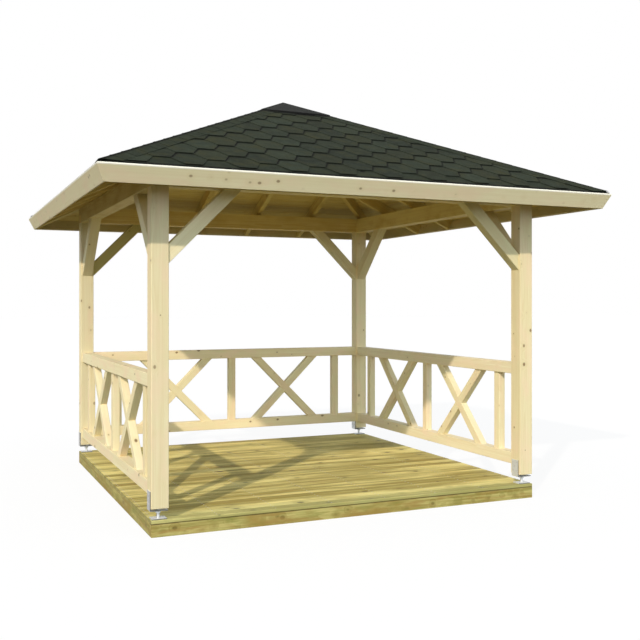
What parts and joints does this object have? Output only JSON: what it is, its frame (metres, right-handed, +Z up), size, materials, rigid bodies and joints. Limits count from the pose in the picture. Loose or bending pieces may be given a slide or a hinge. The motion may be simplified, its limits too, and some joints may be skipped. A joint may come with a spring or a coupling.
{
  "type": "garden gazebo",
  "caption": "Square open timber gazebo on a low deck, with cross-braced railings on three sides and a hipped roof of boarding and hexagonal shingles.",
  "frame": {"origin": "on the ground under the middle of the square plan", "axes": "+Z up, the open front faces -Y, +X to the right as seen from the front"},
  "size_m": [3.8134, 3.8134, 3.2379],
  "materials": {
    "spruce": "planed, untreated",
    "deck_timber": "pressure-treated, green-brown",
    "bitumen_shingle": "mineral granules, matt",
    "cap_sheet": "matt",
    "galvanised_steel": "hot-dip galvanised"
  },
  "bodies": {
    "root": {"deck_frame": "deck_timber", "deck_boards": "deck_timber", "post_foot_front_left": "galvanised_steel", "post_front_left": "spruce", "knee_braces_front_left": "spruce", "post_foot_front_right": "galvanised_steel", "post_front_right": "spruce", "knee_braces_front_right": "spruce", "post_foot_back_right": "galvanised_steel", "post_back_right": "spruce", "knee_braces_back_right": "spruce", "post_foot_back_left": "galvanised_steel", "post_back_left": "spruce", "knee_braces_back_left": "spruce", "beam_front": "spruce", "beam_right": "spruce", "beam_back": "spruce", "beam_left": "spruce", "railing_left_rails": "spruce", "railing_left_uprights": "spruce", "railing_left_rising_bars": "spruce", "railing_left_falling_bars": "spruce", "railing_back_rails": "spruce", "railing_back_uprights": "spruce", "railing_back_rising_bars": "spruce", "railing_back_falling_bars": "spruce", "railing_right_rails": "spruce", "railing_right_uprights": "spruce", "railing_right_rising_bars": "spruce", "railing_right_falling_bars": "spruce", "rafters_front": "spruce", "fascia_front": "spruce", "roof_boards_front": "spruce", "shingles_front": "bitumen_shingle", "rafters_right": "spruce", "fascia_right": "spruce", "roof_boards_right": "spruce", "shingles_right": "bitumen_shingle", "rafters_back": "spruce", "fascia_back": "spruce", "roof_boards_back": "spruce", "shingles_back": "bitumen_shingle", "rafters_left": "spruce", "fascia_left": "spruce", "roof_boards_left": "spruce", "shingles_left": "bitumen_shingle", "hip_rafter_front_left": "spruce", "hip_rafter_front_right": "spruce", "hip_rafter_back_right": "spruce", "hip_rafter_back_left": "spruce", "apex_cap": "cap_sheet"}
  },
  "joints": []
}
